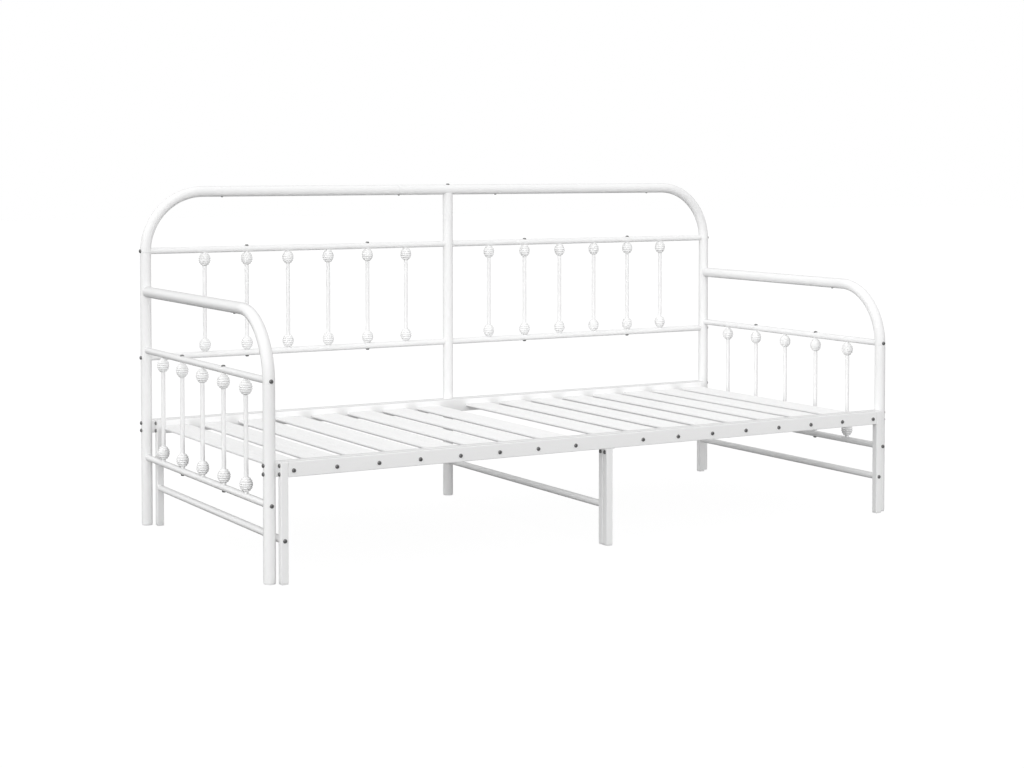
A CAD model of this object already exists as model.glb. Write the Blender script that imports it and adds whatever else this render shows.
# %% [markdown]
# # A white metal daybed whose slatted base pulls out
#
# The real bed is bolted together from bent round tubes, thin level bars, turned spindles and
# box-section beams, all powder-coated white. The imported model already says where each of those
# pieces is and how the base slides. This lesson builds the finished surface of every piece
# around that model: smooth tubes, ribbed slats, grooved balls, bolts, plugs and coats of paint.

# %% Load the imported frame
import math

import bmesh
import bpy
from mathutils import Matrix, Vector


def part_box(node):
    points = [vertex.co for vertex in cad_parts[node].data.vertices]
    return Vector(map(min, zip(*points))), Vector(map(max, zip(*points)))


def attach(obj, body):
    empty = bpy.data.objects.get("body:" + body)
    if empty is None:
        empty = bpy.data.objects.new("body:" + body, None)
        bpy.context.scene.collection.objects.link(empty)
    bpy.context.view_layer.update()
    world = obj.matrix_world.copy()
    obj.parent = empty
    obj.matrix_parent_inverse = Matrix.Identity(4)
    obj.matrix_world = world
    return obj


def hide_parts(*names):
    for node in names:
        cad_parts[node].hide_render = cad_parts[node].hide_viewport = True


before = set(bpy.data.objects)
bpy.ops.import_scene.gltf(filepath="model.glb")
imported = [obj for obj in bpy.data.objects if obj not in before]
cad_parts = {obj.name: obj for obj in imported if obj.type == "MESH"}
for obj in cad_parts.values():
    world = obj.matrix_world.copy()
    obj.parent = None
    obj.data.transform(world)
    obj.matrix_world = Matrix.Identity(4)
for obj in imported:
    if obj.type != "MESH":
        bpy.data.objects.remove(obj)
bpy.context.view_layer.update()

MM = 0.001
UP = Vector((0, 0, 1))
HANDS = (("left", -1), ("right", 1))

# %% [markdown]
# ## The view
#
# The camera stands at the left, in front of the bed, a little above its back. It tilts down by
# two degrees, so the posts stay nearly upright, and the lens is shifted down a little. The bed
# stays well inside the frame when the camera is moved round to the other sides.

# %% Camera
CAMERA_PLACE = Vector((-2.9231, -4.9448, 1.0785))
CAMERA_TURN = math.radians(30.2994)
CAMERA_TILT = math.radians(2.0244)
SENSOR_WIDTH = 36
LENS_LENGTH = 66.76
LENS_SHIFT = -0.15

camera = bpy.data.objects.new("camera", bpy.data.cameras.new("camera"))
bpy.context.scene.collection.objects.link(camera)
camera.data.sensor_width = SENSOR_WIDTH
camera.data.lens = LENS_LENGTH
camera.data.shift_y = LENS_SHIFT
camera.location = CAMERA_PLACE
camera.rotation_euler = (math.radians(90) - CAMERA_TILT, 0, -CAMERA_TURN)
bpy.context.scene.camera = camera
print("camera", [round(value, 3) for value in camera.location])

# %% [markdown]
# ## Soft studio light
#
# The light comes from a bright sky all round and above, with a broad soft lamp at the front
# and a weak one at the left. Neither lamp casts a shadow, so the parts under the slats stay as
# light as the rest. The sky is dark below the horizon, so the undersides of the tubes fall
# into shade and each white tube reads as round against a white room.

# %% Sky
SKY_SEEN = 1.0
SKY_BELOW = 0.02
# Each pair is a height, from 0 straight down to 1 straight up, and the light that comes from it.
SKY_HEIGHTS = ((0.49, SKY_BELOW), (0.51, 1.05), (0.75, 0.95), (1.0, 0.7))
SKY_LIMIT = 2.0


def build_sky():
    """White to look at, but as a light it is brightest at the horizon and dark below it."""
    world = bpy.data.worlds.new("studio sky")
    world.use_nodes = True
    nodes, links = world.node_tree.nodes, world.node_tree.links
    nodes.clear()
    direction = nodes.new("ShaderNodeTexCoord")
    height = nodes.new("ShaderNodeSeparateXYZ")
    links.new(direction.outputs["Generated"], height.inputs[0])
    share = nodes.new("ShaderNodeMapRange")
    share.inputs["From Min"].default_value = -1
    share.inputs["From Max"].default_value = 1
    links.new(height.outputs["Z"], share.inputs["Value"])
    ramp = nodes.new("ShaderNodeValToRGB")
    while len(ramp.color_ramp.elements) < len(SKY_HEIGHTS):
        ramp.color_ramp.elements.new(0.5)
    for element, (place, level) in zip(ramp.color_ramp.elements, SKY_HEIGHTS):
        element.position = place
        element.color = (level / SKY_LIMIT, level / SKY_LIMIT, level / SKY_LIMIT, 1)
    links.new(share.outputs["Result"], ramp.inputs["Fac"])
    light = nodes.new("ShaderNodeBackground")
    light.inputs["Strength"].default_value = SKY_LIMIT
    links.new(ramp.outputs["Color"], light.inputs["Color"])
    seen = nodes.new("ShaderNodeBackground")
    seen.inputs["Color"].default_value = (1, 1, 1, 1)
    seen.inputs["Strength"].default_value = SKY_SEEN
    path = nodes.new("ShaderNodeLightPath")
    mix = nodes.new("ShaderNodeMixShader")
    links.new(path.outputs["Is Camera Ray"], mix.inputs["Fac"])
    links.new(light.outputs[0], mix.inputs[1])
    links.new(seen.outputs[0], mix.inputs[2])
    output = nodes.new("ShaderNodeOutputWorld")
    links.new(mix.outputs[0], output.inputs["Surface"])
    return world


bpy.context.scene.world = build_sky()
bpy.context.scene.view_settings.view_transform = "Standard"
bpy.context.scene.view_settings.look = "None"
print("sky levels", SKY_HEIGHTS)

# %% Lamps
LAMP_SPREAD = math.radians(60)
# Each lamp has a name, a strength and the way its light travels.
LAMPS = (
    ("broad front lamp", 1.1, Vector((0.45, 0.85, -0.25))),
    ("weak left lamp", 0.7, Vector((0.9, 0.1, -0.45))),
)
for name, energy, travel in LAMPS:
    lamp = bpy.data.objects.new(name, bpy.data.lights.new(name, "SUN"))
    bpy.context.scene.collection.objects.link(lamp)
    lamp.data.energy = energy
    lamp.data.angle = LAMP_SPREAD
    lamp.data.use_shadow = False
    lamp.rotation_euler = travel.to_track_quat("-Z", "Y").to_euler()
print("lamps", [name for name, _, _ in LAMPS])

# %% [markdown]
# ## Paint and metal
#
# Powder coat is a thick soft skin: almost white, half glossy, with the faint dimples that
# painters call orange peel. The dimples are a few millimetres across and very shallow. Both
# coats, the plastic plugs and the bolts share one shader group that makes the dimples and a
# faint cloudiness, each with its own scale and depth. The frame's coat also gets a little
# darker where a tube turns away from the eye, which gives thin white tubes an outline.

# %% Surface group
DIMPLE_DETAIL = 2
CLOUD_DETAIL = 4
SKIN_INPUTS = (
    ("Scale", 250.0),
    ("Cloud Scale", 9.0),
    ("Colour Spread", 0.02),
    ("Roughness", 0.4),
    ("Roughness Spread", 0.08),
)


def build_skin_group():
    """Cloudiness, roughness and height for a coated surface, from its own object coordinates."""
    group = bpy.data.node_groups.new("coated skin", "ShaderNodeTree")
    face = group.interface
    for name, value in SKIN_INPUTS:
        socket = face.new_socket(name, in_out="INPUT", socket_type="NodeSocketFloat")
        socket.default_value = value
    for name in ("Shade", "Roughness", "Height"):
        face.new_socket(name, in_out="OUTPUT", socket_type="NodeSocketFloat")
    nodes, links = group.nodes, group.links
    given, made = nodes.new("NodeGroupInput"), nodes.new("NodeGroupOutput")
    place = nodes.new("ShaderNodeTexCoord")

    dimples = nodes.new("ShaderNodeTexNoise")
    dimples.inputs["Detail"].default_value = DIMPLE_DETAIL
    links.new(place.outputs["Object"], dimples.inputs["Vector"])
    links.new(given.outputs["Scale"], dimples.inputs["Scale"])
    links.new(dimples.outputs["Fac"], made.inputs["Height"])

    clouds = nodes.new("ShaderNodeTexNoise")
    clouds.inputs["Detail"].default_value = CLOUD_DETAIL
    links.new(place.outputs["Object"], clouds.inputs["Vector"])
    links.new(given.outputs["Cloud Scale"], clouds.inputs["Scale"])

    centred = nodes.new("ShaderNodeMath")
    centred.operation = "SUBTRACT"
    centred.inputs[1].default_value = 0.5
    links.new(clouds.outputs["Fac"], centred.inputs[0])
    shade = nodes.new("ShaderNodeMath")
    shade.operation = "MULTIPLY_ADD"
    shade.inputs[2].default_value = 1.0
    links.new(centred.outputs[0], shade.inputs[0])
    links.new(given.outputs["Colour Spread"], shade.inputs[1])
    links.new(shade.outputs[0], made.inputs["Shade"])
    rough = nodes.new("ShaderNodeMath")
    rough.operation = "MULTIPLY_ADD"
    links.new(centred.outputs[0], rough.inputs[0])
    links.new(given.outputs["Roughness Spread"], rough.inputs[1])
    links.new(given.outputs["Roughness"], rough.inputs[2])
    links.new(rough.outputs[0], made.inputs["Roughness"])
    return group


skin_group = build_skin_group()
print("group", skin_group.name, [item.name for item in skin_group.interface.items_tree])

# %% Coats
RIM_START = 0.6
FACING_BLEND = 0.5
DIMPLE_HEIGHT = 0.3 * MM
SHINE = 0.2
CLEAR_ROUGHNESS = 0.25
# A Mix node keeps its two colours and its result in these sockets.
MIX_FIRST, MIX_SECOND, MIX_RESULT = 6, 7, 2


def multiply_node(nodes):
    mix = nodes.new("ShaderNodeMix")
    mix.data_type = "RGBA"
    mix.blend_type = "MULTIPLY"
    mix.inputs["Factor"].default_value = 1.0
    return mix


def darker_rim(material, colour_source, rim):
    """The same colour, multiplied down towards the edges that turn away from the eye."""
    nodes, links = material.node_tree.nodes, material.node_tree.links
    facing = nodes.new("ShaderNodeLayerWeight")
    facing.inputs["Blend"].default_value = FACING_BLEND
    fall = nodes.new("ShaderNodeMapRange")
    fall.inputs["From Min"].default_value = RIM_START
    fall.inputs["To Min"].default_value = 1.0
    fall.inputs["To Max"].default_value = 1.0 - rim
    links.new(facing.outputs["Facing"], fall.inputs["Value"])
    shaded = multiply_node(nodes)
    links.new(colour_source, shaded.inputs[MIX_FIRST])
    links.new(fall.outputs["Result"], shaded.inputs[MIX_SECOND])
    return shaded.outputs[MIX_RESULT]


def coated(name, colour, roughness, metallic=0.0, scale=250.0, depth=0.04, spread=0.02,
           coat=0.0, rim=0.0):
    """A material whose paint, plastic or metal has the shared skin over it."""
    material = bpy.data.materials.new(name)
    material.use_nodes = True
    nodes, links = material.node_tree.nodes, material.node_tree.links
    surface = nodes["Principled BSDF"]
    skin = nodes.new("ShaderNodeGroup")
    skin.node_tree = skin_group
    skin.inputs["Scale"].default_value = scale
    skin.inputs["Colour Spread"].default_value = spread
    skin.inputs["Roughness"].default_value = roughness
    tint = multiply_node(nodes)
    tint.inputs[MIX_FIRST].default_value = (*colour, 1)
    links.new(skin.outputs["Shade"], tint.inputs[MIX_SECOND])
    colour_made = tint.outputs[MIX_RESULT]
    if rim:
        colour_made = darker_rim(material, colour_made, rim)
    links.new(colour_made, surface.inputs["Base Color"])
    links.new(skin.outputs["Roughness"], surface.inputs["Roughness"])
    bump = nodes.new("ShaderNodeBump")
    bump.inputs["Strength"].default_value = depth
    bump.inputs["Distance"].default_value = DIMPLE_HEIGHT
    links.new(skin.outputs["Height"], bump.inputs["Height"])
    links.new(bump.outputs["Normal"], surface.inputs["Normal"])
    surface.inputs["Metallic"].default_value = metallic
    surface.inputs["Specular IOR Level"].default_value = SHINE
    surface.inputs["Coat Weight"].default_value = coat
    surface.inputs["Coat Roughness"].default_value = CLEAR_ROUGHNESS
    return material


FRAME_WHITE = (0.86, 0.86, 0.86)
SLAT_WHITE = (0.85, 0.85, 0.85)
PLUG_WHITE = (0.78, 0.78, 0.78)
BOLT_GREY = (0.2, 0.2, 0.2)
MATERIALS = {
    "frame_coat": coated("white powder coat", FRAME_WHITE, 0.42, coat=0.03, rim=0.38),
    "slat_coat": coated("white slat coat", SLAT_WHITE, 0.5, scale=180.0),
    "plug_plastic": coated("white plug plastic", PLUG_WHITE, 0.55, scale=600.0, depth=0.3),
    "bolt_steel": coated("dark bolt steel", BOLT_GREY, 0.32, metallic=0.8, scale=900.0,
                         depth=0.15, spread=0.3),
}
print("materials", sorted(MATERIALS))

# %% [markdown]
# ## From a bmesh to a finished piece
#
# Every shape below is a bmesh first. This step welds it, turns its faces outwards, gives it
# smooth shading with crisp corners, and hangs it on the body that it moves with. It also
# names the solid that it stands for.

# %% Finish a piece
SHARP_CORNER = math.radians(35)
WELD = 0.001 * MM


def weigh_normals(piece):
    """Let the large faces decide the shading, so that a rounded edge doesn't bend it."""
    weigh = piece.modifiers.new("weighted normals", "WEIGHTED_NORMAL")
    weigh.keep_sharp = True


def finish_piece(name, shape, body, slot, stands_for=()):
    bmesh.ops.remove_doubles(shape, verts=shape.verts, dist=WELD)
    bmesh.ops.recalc_face_normals(shape, faces=shape.faces)
    mesh = bpy.data.meshes.new(name)
    shape.to_mesh(mesh)
    shape.free()
    mesh.shade_smooth()
    mesh.set_sharp_from_angle(angle=SHARP_CORNER)
    mesh.materials.append(MATERIALS[slot])
    piece = bpy.data.objects.new(name, mesh)
    bpy.context.scene.collection.objects.link(piece)
    weigh_normals(piece)
    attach(piece, body)
    if stands_for:
        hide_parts(*stands_for)
    return piece


def middle(node):
    low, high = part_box(node)
    return (low + high) / 2


def extent(node):
    low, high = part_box(node)
    return high - low


tube_radius = extent("back_post_left").x / 2
bar_radius = extent("back_upper_bar_left").z / 2
print("tube and bar radius in mm", round(tube_radius / MM, 2), round(bar_radius / MM, 2))

# %% [markdown]
# ## Straight round tubes and bars
#
# A straight tube is a cone whose two ends are equally wide. Its cut ends get a small rounded
# edge, because powder coat never leaves a sharp one. Where a bar meets a post, its end goes a
# little way into the post wall, which looks like the snug joint of the real bed.

# %% Tube helper
TUBE_SIDES = 48
END_ROUND = 0.6 * MM
END_STEPS = 2
LEVEL_SHARE = 0.01
SINK = 3 * MM


def round_edges(shape, edges, rounding, steps):
    """Bevel these edges to a small round."""
    bmesh.ops.bevel(shape, geom=edges, offset=rounding, offset_type="OFFSET", segments=steps,
                    profile=0.5, affect="EDGES", material=-1, clamp_overlap=True)


def tube_shape(start, end, radius, sides=TUBE_SIDES, end_round=END_ROUND):
    start, end = Vector(start), Vector(end)
    run = end - start
    shape = bmesh.new()
    bmesh.ops.create_cone(shape, cap_ends=True, segments=sides, radius1=radius, radius2=radius,
                          depth=run.length)
    rims = [edge for edge in shape.edges
            if abs(edge.verts[0].co.z - edge.verts[1].co.z) < radius * LEVEL_SHARE]
    round_edges(shape, rims, end_round, END_STEPS)
    turn = UP.rotation_difference(run).to_matrix().to_4x4()
    move = Matrix.Translation((start + end) / 2)
    bmesh.ops.transform(shape, matrix=move @ turn, verts=shape.verts)
    return shape


def tube_for(node, name, axis, radius, low_extra=0.0, high_extra=0.0, body="frame"):
    """A straight tube along one axis of a solid's box, a little longer or shorter at each end."""
    low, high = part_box(node)
    start, end = middle(node), middle(node)
    start[axis] = low[axis] - low_extra
    end[axis] = high[axis] + high_extra
    finish_piece(name, tube_shape(start, end, radius), body, "frame_coat", [node])


# %% Posts, hoop tubes, arm tubes and bars
X, Y, Z = 0, 1, 2
LEVELS = ("upper", "lower")
PLUG_RISE = 4 * MM
for hand, _ in HANDS:
    tube_for(f"back_post_{hand}", f"back_post_tube_{hand}", Z, tube_radius, low_extra=-PLUG_RISE)
    tube_for(f"arm_post_{hand}", f"arm_post_tube_{hand}", Z, tube_radius, low_extra=-PLUG_RISE)
    tube_for(f"hoop_top_tube_{hand}", f"hoop_tube_{hand}", X, tube_radius)
    tube_for(f"arm_top_tube_{hand}", f"arm_rest_tube_{hand}", Y, tube_radius,
             high_extra=-tube_radius + SINK)
    for level in LEVELS:
        tube_for(f"back_{level}_bar_{hand}", f"back_bar_{level}_{hand}", X, bar_radius, SINK, SINK)
        tube_for(f"arm_{level}_bar_{hand}", f"arm_bar_{level}_{hand}", Y, bar_radius, SINK, SINK)
tube_for("hoop_top_tube_centre", "hoop_tube_centre", X, tube_radius)
tube_for("back_centre_post", "back_centre_post_tube", Z, tube_radius, low_extra=-PLUG_RISE,
         high_extra=-tube_radius / 2)
print("straight tubes made")

# %% [markdown]
# ## Rounded corners
#
# A tube bender swings the tube through a quarter turn. `spin` does the same to a circle: the
# circle starts flat on the post's top, swings up and over, and is then drawn out level for
# the short run to the next tube.

# %% Corner helper
BEND_STEPS = 28
QUARTER_TURN = math.radians(90)


def corner_shape(foot, inward, bend_radius, run):
    shape = bmesh.new()
    bmesh.ops.create_circle(shape, cap_ends=True, segments=TUBE_SIDES, radius=tube_radius)
    bmesh.ops.translate(shape, vec=foot, verts=shape.verts)
    swung = bmesh.ops.spin(shape, geom=list(shape.faces), cent=foot + inward * bend_radius,
                           axis=UP.cross(inward), angle=QUARTER_TURN, steps=BEND_STEPS,
                           use_merge=False)
    last = [part for part in swung["geom_last"] if isinstance(part, bmesh.types.BMFace)]
    drawn = bmesh.ops.extrude_face_region(shape, geom=last)
    moved = [part for part in drawn["geom"] if isinstance(part, bmesh.types.BMVert)]
    bmesh.ops.translate(shape, vec=inward * run, verts=moved)
    bmesh.ops.delete(shape, geom=last, context="FACES")
    return shape


# %% Hoop and arm corners
def build_corner(node, name, inward):
    low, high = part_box(node)
    rise = high.z - low.z - tube_radius
    reach = abs((high - low).dot(inward)) - tube_radius
    foot = middle(node)
    foot.z = low.z
    foot += inward * (-abs((high - low).dot(inward)) / 2 + tube_radius)
    shape = corner_shape(foot, inward, rise, reach - rise)
    piece = finish_piece(name, shape, "frame", "frame_coat", [node])
    corner_low = Vector([min(vertex.co[axis] for vertex in piece.data.vertices)
                         for axis in (X, Y, Z)])
    print(name, "lowest corner off by mm", [round(value / MM, 2) for value in corner_low - low])


for hand, side in HANDS:
    build_corner(f"hoop_corner_{hand}", f"hoop_bend_{hand}", Vector((-side, 0, 0)))
    build_corner(f"arm_corner_{hand}", f"arm_bend_{hand}", Vector((0, 1, 0)))

# %% [markdown]
# ## Spindles
#
# Each spindle is a thin rod with a ball near each end. The balls are turned with level
# grooves, like a beehive. A wavy outline spun about the rod's axis gives the grooves in one go.

# %% Ball and rod
BALL_RADIUS = 18 * MM
BALL_HEIGHT = 38.6 * MM
BALL_GROOVES = 6
GROOVE_DEPTH = 2.2 * MM
POINTS_PER_GROOVE = 8
BALL_SIDES = 36
BALL_END_ANGLE = math.radians(68)
ROD_RADIUS = 6 * MM
ROD_SIDES = 20
ROD_END_ROUND = 0.3 * MM
FULL_TURN = math.radians(360)


def spin_outline(shape, outline, edges, sides):
    """Turn an outline once round the upright axis and weld it where it meets itself."""
    bmesh.ops.spin(shape, geom=[*outline, *edges], cent=(0, 0, 0), axis=UP, angle=FULL_TURN,
                   steps=sides, use_merge=True)
    bmesh.ops.remove_doubles(shape, verts=shape.verts, dist=WELD)


def ball_shape(centre):
    shape = bmesh.new()
    steps = BALL_GROOVES * POINTS_PER_GROOVE
    outline = []
    for step in range(steps + 1):
        share = 2 * step / steps - 1
        height = share * BALL_HEIGHT / 2
        angle = math.asin(share * math.sin(BALL_END_ANGLE))
        wave = (1 + math.cos(2 * math.pi * step / POINTS_PER_GROOVE)) / 2
        radius = BALL_RADIUS * math.cos(angle) - GROOVE_DEPTH * wave ** 2
        outline.append(shape.verts.new((radius, 0, height)))
    edges = [shape.edges.new(pair) for pair in zip(outline, outline[1:])]
    spin_outline(shape, outline, edges, BALL_SIDES)
    bmesh.ops.holes_fill(shape, edges=shape.edges, sides=BALL_SIDES)
    bmesh.ops.translate(shape, vec=centre, verts=shape.verts)
    return shape


# %% Spindles in their rows
def build_spindle(node, name, neck):
    low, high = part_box(node)
    foot = middle(node)
    foot.z = low.z
    rod = tube_shape(foot - UP * SINK, foot + UP * (high.z - low.z + SINK), ROD_RADIUS,
                     sides=ROD_SIDES, end_round=ROD_END_ROUND)
    finish_piece(f"{name}_rod", rod, "frame", "frame_coat", [node])
    lower = foot + UP * (neck + BALL_HEIGHT / 2)
    upper = foot + UP * (high.z - low.z - neck - BALL_HEIGHT / 2)
    finish_piece(f"{name}_lower_ball", ball_shape(lower), "frame", "frame_coat")
    finish_piece(f"{name}_upper_ball", ball_shape(upper), "frame", "frame_coat")


ARM_NECK = 3 * MM
BACK_SPINDLES = 6
ARM_SPINDLES = 5
for hand, _ in HANDS:
    for number in range(1, BACK_SPINDLES + 1):
        build_spindle(f"back_spindle_{hand}_{number}", f"back_{hand}_{number}", 0)
    for number in range(1, ARM_SPINDLES + 1):
        build_spindle(f"arm_spindle_{hand}_{number}", f"arm_{hand}_{number}", ARM_NECK)
print("spindles made")

# %% [markdown]
# ## Beams, legs and low bars
#
# These are square and rectangular steel sections. Rolled section has rounded long edges, so
# each box is bevelled all round. The two beams that slats slide through are cut with one
# slot for each slat.

# %% Box helper
SECTION_ROUND = 1.8 * MM
SECTION_STEPS = 3


def box_shape(low, high, rounding=SECTION_ROUND, steps=SECTION_STEPS):
    shape = bmesh.new()
    bmesh.ops.create_cube(shape, size=1)
    bmesh.ops.scale(shape, vec=high - low, verts=shape.verts)
    bmesh.ops.translate(shape, vec=(low + high) / 2, verts=shape.verts)
    round_edges(shape, list(shape.edges), rounding, steps)
    return shape


def box_for(node, name, body, low_rise=0.0):
    low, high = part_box(node)
    shape = box_shape(low + UP * low_rise, high)
    finish_piece(name, shape, body, "frame_coat", [node])


# %% Legs, low bars and the front rail
for hand, _ in HANDS:
    for end in ("front", "rear"):
        box_for(f"pull_out_{end}_leg_{hand}", f"sliding_{end}_leg_{hand}", "pull_out_base",
                PLUG_RISE)
    tube_for(f"pull_out_side_bar_{hand}", f"sliding_side_bar_{hand}", Y, bar_radius, SINK, SINK,
             body="pull_out_base")
box_for("pull_out_centre_leg", "sliding_centre_leg", "pull_out_base", PLUG_RISE)
box_for("front_rail", "sliding_front_rail", "pull_out_base")
box_for("fixed_centre_leg", "standing_centre_leg", "frame", PLUG_RISE)
tube_for("centre_cross_bar", "centre_low_bar", Y, bar_radius, SINK, SINK)
print("legs and rails made")

# %% [markdown]
# ## Slats
#
# A slat is a strip of thin steel, rolled so that its edges turn down and three beads run along
# its top. A flat grid as wide as the unrolled strip is bent into that section, then given the
# thickness of the sheet. The sheet lies outside the section, so a slat comes out 1.8 mm wider
# than SLAT_WIDTH. Fixed slats and pull-out slats lie in pairs, side by side.

# %% Slat sizes
SLAT_WIDTH = 43 * MM
SLAT_THICKNESS = 8 * MM
SLAT_SHEET = 0.9 * MM
SLAT_EDGE_ROUND = SLAT_THICKNESS / 2
SLAT_BEADS = 3
BEAD_DEPTH = 1.5 * MM
SLAT_PAIR_GAP = 1 * MM
SLAT_END_GAP = 0.3 * MM
SLAT_TOP = 297.5 * MM
SLATS_PER_SIDE = 8
SLAT_CENTRE_INSET = 47.7 * MM
SLAT_COLUMNS = 56

slat_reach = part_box("pull_out_beam_and_slats")[1].x
slat_pair = 2 * SLAT_WIDTH + SLAT_PAIR_GAP
slat_pitch = (slat_reach - slat_pair - SLAT_CENTRE_INSET) / (SLATS_PER_SIDE - 1)
print("slat pitch in mm", round(slat_pitch / MM, 2))


# %% Slat helper
def slat_section(travel):
    """Where a point of the unrolled strip ends up across the slat, and how far below its top."""
    flat_half = SLAT_WIDTH / 2 - SLAT_EDGE_ROUND
    distance = abs(travel)
    if distance <= flat_half:
        wave = math.cos(math.pi * SLAT_BEADS * travel / flat_half)
        return travel, -BEAD_DEPTH * (1 + wave) / 2
    angle = (distance - flat_half) / SLAT_EDGE_ROUND
    across = flat_half + SLAT_EDGE_ROUND * math.sin(angle)
    return math.copysign(across, travel), -SLAT_EDGE_ROUND * (1 - math.cos(angle))


def slat_shape(centre_x, front, rear):
    half_strip = SLAT_WIDTH / 2 - SLAT_EDGE_ROUND + SLAT_EDGE_ROUND * math.pi
    shape = bmesh.new()
    bmesh.ops.create_grid(shape, x_segments=SLAT_COLUMNS, y_segments=1, size=0.5)
    for vertex in shape.verts:
        across, drop = slat_section(vertex.co.x * 2 * half_strip)
        along = front if vertex.co.y < 0 else rear
        vertex.co = Vector((centre_x + across, along, SLAT_TOP + drop))
    bmesh.ops.recalc_face_normals(shape, faces=shape.faces)
    if sum(face.normal.z for face in shape.faces) > 0:
        bmesh.ops.reverse_faces(shape, faces=shape.faces)
    bmesh.ops.solidify(shape, geom=list(shape.faces), thickness=SLAT_SHEET)
    return shape


def slat_middles(side, is_fixed):
    offset = SLAT_WIDTH / 2 if is_fixed else SLAT_WIDTH * 1.5 + SLAT_PAIR_GAP
    return [side * (SLAT_CENTRE_INSET + slat_pitch * pair + offset)
            for pair in range(SLATS_PER_SIDE)]


# %% Lay the slats
beam_depth = extent("front_rail").y
slide_low, slide_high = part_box("pull_out_beam_and_slats")
fixed_low, fixed_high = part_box("rear_rail_and_slats_left")
for hand, side in HANDS:
    for number, x in enumerate(slat_middles(side, True), start=1):
        shape = slat_shape(x, fixed_low.y, fixed_high.y - beam_depth + SINK)
        finish_piece(f"fixed_slat_{hand}_{number}", shape, "frame", "slat_coat")
    for number, x in enumerate(slat_middles(side, False), start=1):
        shape = slat_shape(x, slide_low.y, slide_high.y - beam_depth - SLAT_END_GAP)
        finish_piece(f"sliding_slat_{hand}_{number}", shape, "pull_out_base", "slat_coat")
print("slats laid")

# %% Slotted beams and rear rails
SLOT_CLEARANCE = 0.5 * MM


def slot_cutter(centres, middle_y):
    """One block for each slot, in a single bmesh."""
    cutter = bmesh.new()
    for x in centres:
        block = bmesh.ops.create_cube(cutter, size=1)["verts"]
        size = Vector((SLAT_WIDTH, beam_depth * 2, SLAT_THICKNESS))
        size += Vector((2, 0, 2)) * SLOT_CLEARANCE
        bmesh.ops.scale(cutter, vec=size, verts=block)
        bmesh.ops.translate(cutter, vec=(x, middle_y, SLAT_TOP - SLAT_THICKNESS / 2), verts=block)
    return cutter


def slotted_beam(name, low, high, centres, body, stands_for):
    """A beam with its slots cut by a Boolean that is applied at once."""
    shape = box_shape(low, high)
    piece = finish_piece(name, shape, body, "frame_coat", stands_for)
    cutter_mesh = bpy.data.meshes.new("slots")
    cutter = slot_cutter(centres, (low.y + high.y) / 2)
    cutter.to_mesh(cutter_mesh)
    cutter.free()
    cutter_object = bpy.data.objects.new("slots", cutter_mesh)
    bpy.context.scene.collection.objects.link(cutter_object)
    piece.modifiers.clear()
    cut = piece.modifiers.new("slots", "BOOLEAN")
    cut.object = cutter_object
    cut.solver = "EXACT"
    bpy.context.view_layer.update()
    finished = piece.evaluated_get(bpy.context.evaluated_depsgraph_get())
    cut_mesh = bpy.data.meshes.new_from_object(finished)
    piece.modifiers.clear()
    piece.data = cut_mesh
    weigh_normals(piece)
    bpy.data.objects.remove(cutter_object)
    print(name, "faces", len(piece.data.polygons))


fixed_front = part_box("fixed_front_beam")
slotted_beam("slotted_front_beam", *fixed_front,
             [x for _, side in HANDS for x in slat_middles(side, False)],
             "frame", ["fixed_front_beam"])

rail_low, rail_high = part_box("front_rail")
slide_beam_low = Vector((rail_low.x, slide_high.y - beam_depth, rail_low.z))
slide_beam_high = Vector((rail_high.x, slide_high.y, rail_high.z))
slotted_beam("sliding_rear_beam", slide_beam_low, slide_beam_high,
             [x for _, side in HANDS for x in slat_middles(side, True)],
             "pull_out_base", ["pull_out_beam_and_slats"])

for hand, _ in HANDS:
    node = f"rear_rail_and_slats_{hand}"
    low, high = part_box(node)
    shape = box_shape(Vector((low.x, high.y - beam_depth, low.z)), high)
    finish_piece(f"rear_rail_{hand}", shape, "frame", "frame_coat", [node])

# %% [markdown]
# ## Bolts and screws
#
# Dark button-head bolts hold the bed together. A button head is a low dome with a six-sided
# socket. The dome is a short outline spun about the bolt's axis, and the socket's round
# wall is pressed into a hexagon.

# %% Bolt helper
BOLT_RADIUS = 5.6 * MM
BOLT_RISE = 3.6 * MM
SCREW_RADIUS = 3.4 * MM
SCREW_RISE = 2 * MM
BOLT_SIDES = 24
BOLT_SEAT = 1 * MM
# The socket's width is a share of the bolt's radius, and its floor and lip of the dome's rise.
SOCKET_SHARE = 0.42
SOCKET_FLOOR = 0.35
SOCKET_LIP = 0.98
# The dome starts a little outside the socket and ends in an upright rim.
DOME_START = 1.2
DOME_STEPS = 4
RIM_RISE = 0.25
HEX_TURN = math.radians(60)
HEX_HALF_TURN = math.radians(30)
SOCKET_REACH = 1.1


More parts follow.
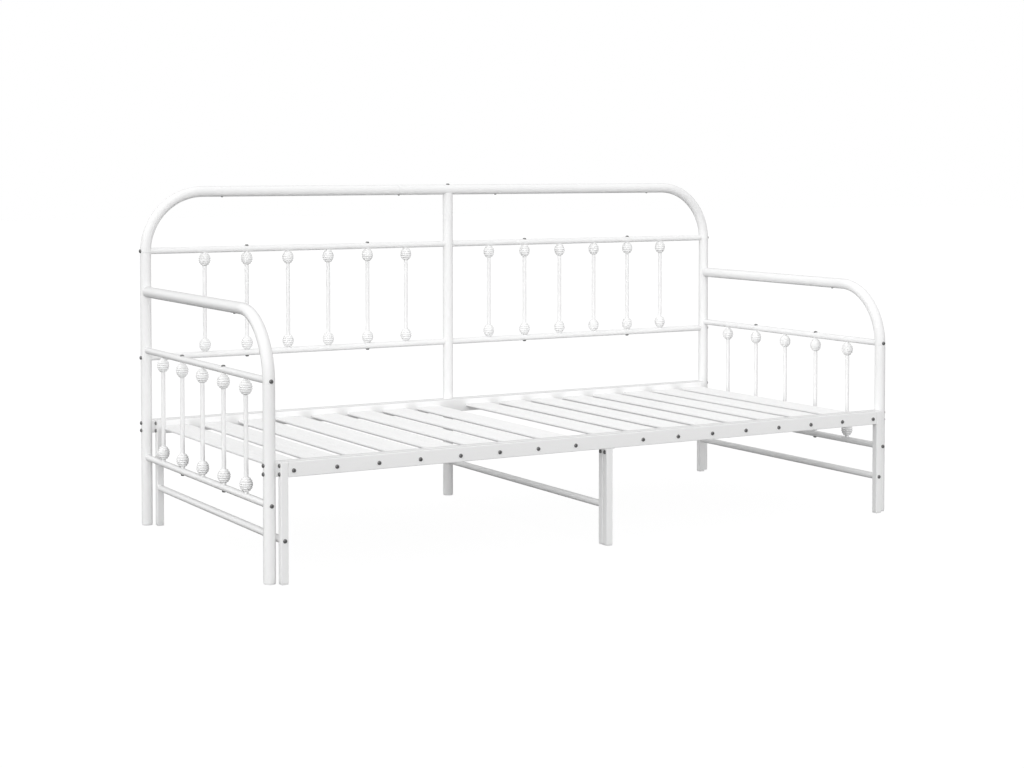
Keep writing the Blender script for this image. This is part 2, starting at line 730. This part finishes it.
def bolt_shape(seat, outward, radius, rise):
    shape = bmesh.new()
    socket = radius * SOCKET_SHARE
    dome_start = socket * DOME_START
    outline = [(0, rise * SOCKET_FLOOR), (socket, rise * SOCKET_FLOOR), (socket, rise * SOCKET_LIP)]
    for step in range(DOME_STEPS + 1):
        angle = math.radians(90 * step / DOME_STEPS)
        outline.append((dome_start + (radius - dome_start) * math.sin(angle),
                        rise * (RIM_RISE + (1 - RIM_RISE) * math.cos(angle))))
    outline += [(radius, -BOLT_SEAT), (0, -BOLT_SEAT)]
    verts = [shape.verts.new((across, 0, height)) for across, height in outline]
    edges = [shape.edges.new(pair) for pair in zip(verts, verts[1:])]
    spin_outline(shape, verts, edges, BOLT_SIDES)
    for vertex in shape.verts:
        across = vertex.co.xy.length
        if 0 < across < socket * SOCKET_REACH:
            turn = math.atan2(vertex.co.y, vertex.co.x) % HEX_TURN - HEX_HALF_TURN
            vertex.co.xy *= math.cos(HEX_HALF_TURN) / math.cos(turn)
    turned = UP.rotation_difference(outward).to_matrix().to_4x4()
    move = Matrix.Translation(seat)
    bmesh.ops.transform(shape, matrix=move @ turned, verts=shape.verts)
    return shape


def bolt(name, seat, outward, body="frame", radius=BOLT_RADIUS, rise=BOLT_RISE):
    shape = bolt_shape(Vector(seat), outward, radius, rise)
    finish_piece(name, shape, body, "bolt_steel")


# %% Bolts through the posts and legs
FRONT, REAR, DOWN = Vector((0, -1, 0)), Vector((0, 1, 0)), Vector((0, 0, -1))
RAIL_BOLT_DROPS = (9.5 * MM, 31.5 * MM)
beam_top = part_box("front_rail")[1].z
for hand, side in HANDS:
    outward = Vector((side, 0, 0))
    back, arm = middle(f"back_post_{hand}"), middle(f"arm_post_{hand}")
    back_face, arm_face = back.x + side * tube_radius, arm.x + side * tube_radius
    for level in LEVELS:
        height = middle(f"back_{level}_bar_{hand}").z
        bolt(f"bolt_back_{level}_bar_{hand}", (back_face, back.y, height), outward)
        height = middle(f"arm_{level}_bar_{hand}").z
        bolt(f"bolt_arm_{level}_bar_front_{hand}", (arm.x, arm.y - tube_radius, height), FRONT)
        bolt(f"bolt_arm_{level}_bar_rear_{hand}", (back.x, back.y + tube_radius, height), REAR)
    height = middle(f"arm_top_tube_{hand}").z
    bolt(f"bolt_arm_rest_{hand}", (back.x, back.y + tube_radius, height), REAR)
    for number, drop in enumerate(RAIL_BOLT_DROPS, start=1):
        height = beam_top - drop
        bolt(f"bolt_rear_rail_{hand}_{number}", (back_face, back.y, height), outward)
        bolt(f"bolt_front_beam_{hand}_{number}", (arm_face, arm.y, height), outward)
        for end in ("front", "rear"):
            low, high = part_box(f"pull_out_{end}_leg_{hand}")
            face = high.x if side > 0 else low.x
            bolt(f"bolt_sliding_{end}_leg_{hand}_{number}",
                 (face, (low.y + high.y) / 2, height), outward, "pull_out_base")
    bar = middle(f"pull_out_side_bar_{hand}")
    front_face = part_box(f"pull_out_front_leg_{hand}")[0].y
    rear_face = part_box(f"pull_out_rear_leg_{hand}")[1].y
    bolt(f"bolt_side_bar_front_{hand}", (bar.x, front_face, bar.z), FRONT, "pull_out_base")
    bolt(f"bolt_side_bar_rear_{hand}", (bar.x, rear_face, bar.z), REAR, "pull_out_base")
print("post and leg bolts made")

# %% Bolts along the front rail, through the bars and at the centre legs
SLAT_BOLT_DROP = 22.7 * MM
BOLTED_BACK_SPINDLES = (2, 5)
BOLTED_ARM_SPINDLES = (2, 4)


def spindle_bolts(place, hand, number):
    """One bolt down through the upper bar and one up through the lower bar."""
    x, y = middle(f"{place}_spindle_{hand}_{number}").xy
    name = f"bolt_{place}_spindle_{hand}_{number}"
    bolt(f"{name}_top", (x, y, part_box(f"{place}_upper_bar_{hand}")[1].z), UP)
    bolt(f"{name}_bottom", (x, y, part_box(f"{place}_lower_bar_{hand}")[0].z), DOWN)


for hand, side in HANDS:
    for number, x in enumerate(slat_middles(side, False), start=1):
        bolt(f"bolt_slat_{hand}_{number}", (x, rail_low.y, beam_top - SLAT_BOLT_DROP), FRONT,
             "pull_out_base")
    for number in BOLTED_BACK_SPINDLES:
        spindle_bolts("back", hand, number)
    for number in BOLTED_ARM_SPINDLES:
        spindle_bolts("arm", hand, number)
hoop = middle("hoop_top_tube_centre")
bolt("bolt_hoop_centre", (0, hoop.y, hoop.z + tube_radius), UP)

FLANGE_THICKNESS = 2 * MM
FLANGE_SPREAD = 7 * MM
FLANGE_ROUND = 0.4 * MM
FLANGE_STEPS = 2
CENTRE_BOLT_DROP = 11 * MM
CENTRE_LEGS = (
    ("pull_out_centre_leg", "pull_out_base", "sliding"),
    ("fixed_centre_leg", "frame", "standing"),
)
for node, body, name in CENTRE_LEGS:
    low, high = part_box(node)
    flange = box_shape(Vector((low.x - FLANGE_SPREAD, low.y, high.z - FLANGE_THICKNESS)),
                       Vector((high.x + FLANGE_SPREAD, high.y, high.z)),
                       FLANGE_ROUND, FLANGE_STEPS)
    finish_piece(f"{name}_centre_leg_flange", flange, body, "frame_coat")
    for hand, side in HANDS:
        face = high.x if side > 0 else low.x
        bolt(f"bolt_{name}_centre_leg_{hand}",
             (face, (low.y + high.y) / 2, high.z - CENTRE_BOLT_DROP), Vector((side, 0, 0)), body)
print("rail, bar and centre bolts made")

# %% Screws under the seams
SEAM_SCREW_INSET = 5.5 * MM
under = hoop.z - tube_radius
for hand, side in HANDS:
    corner_seam = min(abs(corner.x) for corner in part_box(f"hoop_corner_{hand}"))
    centre_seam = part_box("hoop_top_tube_centre")[1].x
    for name, seam in (("corner", corner_seam), ("centre", centre_seam)):
        bolt(f"screw_hoop_{name}_{hand}", (side * (seam - SEAM_SCREW_INSET), hoop.y, under), DOWN,
             radius=SCREW_RADIUS, rise=SCREW_RISE)
    arm_tube = middle(f"arm_top_tube_{hand}")
    arm_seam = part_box(f"arm_top_tube_{hand}")[0].y
    bolt(f"screw_arm_{hand}",
         (arm_tube.x, arm_seam + SEAM_SCREW_INSET, arm_tube.z - tube_radius), DOWN,
         radius=SCREW_RADIUS, rise=SCREW_RISE)
print("screws made")

# %% [markdown]
# ## Foot plugs
#
# White plastic plugs close the lower ends of the posts and legs and keep the steel off the
# floor. Each has a rounded rim a little narrower than its tube.

# %% Plugs
PLUG_INSET = 0.4 * MM
PLUG_ROUND = 1.2 * MM
ROUND_FEET = ("back_post_left", "back_post_right", "arm_post_left", "arm_post_right",
              "back_centre_post")
SQUARE_FEET = (
    ("pull_out_front_leg_left", "pull_out_base"),
    ("pull_out_front_leg_right", "pull_out_base"),
    ("pull_out_rear_leg_left", "pull_out_base"),
    ("pull_out_rear_leg_right", "pull_out_base"),
    ("pull_out_centre_leg", "pull_out_base"),
    ("fixed_centre_leg", "frame"),
)
for node in ROUND_FEET:
    foot = middle(node)
    foot.z = 0
    plug = tube_shape(foot, foot + UP * (PLUG_RISE + SINK), tube_radius - PLUG_INSET,
                      end_round=PLUG_ROUND)
    finish_piece(f"plug_{node}", plug, "frame", "plug_plastic")
inset = Vector((PLUG_INSET, PLUG_INSET, 0))
for node, body in SQUARE_FEET:
    low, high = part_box(node)
    plug = box_shape(Vector((low.x, low.y, 0)) + inset,
                     Vector((high.x, high.y, PLUG_RISE + SINK)) - inset, PLUG_ROUND)
    finish_piece(f"plug_{node}", plug, body, "plug_plastic")
print("plugs made")

# %% [markdown]
# ## Floor
#
# A plain pale floor. It shows almost white, but it throws back only a little light, so that
# the undersides of the tubes stay in shade.

# %% Floor
FLOOR_HALF = 30.0
FLOOR_GLOW = 0.93
FLOOR_SEEN = 0.1
FLOOR_BOUNCE = 0.22
FLOOR_ROUGHNESS = 0.9


def build_floor_material():
    """One colour and glow for the camera to see, another to throw light back with."""
    material = bpy.data.materials.new("pale floor")
    material.use_nodes = True
    nodes, links = material.node_tree.nodes, material.node_tree.links
    surface = nodes["Principled BSDF"]
    surface.inputs["Roughness"].default_value = FLOOR_ROUGHNESS
    surface.inputs["Specular IOR Level"].default_value = 0.0
    path = nodes.new("ShaderNodeLightPath")
    for socket, unseen, seen in (("Base Color", FLOOR_BOUNCE, FLOOR_SEEN),
                                 ("Emission Color", 0, FLOOR_GLOW)):
        mix = nodes.new("ShaderNodeMix")
        mix.data_type = "RGBA"
        mix.inputs[MIX_FIRST].default_value = (unseen, unseen, unseen, 1)
        mix.inputs[MIX_SECOND].default_value = (seen, seen, seen, 1)
        links.new(path.outputs["Is Camera Ray"], mix.inputs["Factor"])
        links.new(mix.outputs[MIX_RESULT], surface.inputs[socket])
    surface.inputs["Emission Strength"].default_value = 1.0
    return material


floor_shape = bmesh.new()
bmesh.ops.create_grid(floor_shape, x_segments=1, y_segments=1, size=FLOOR_HALF)
floor_mesh = bpy.data.meshes.new("floor")
floor_shape.to_mesh(floor_mesh)
floor_shape.free()
floor_mesh.materials.append(build_floor_material())
floor = bpy.data.objects.new("floor", floor_mesh)
bpy.context.scene.collection.objects.link(floor)
print("floor", FLOOR_HALF * 2, "m across")
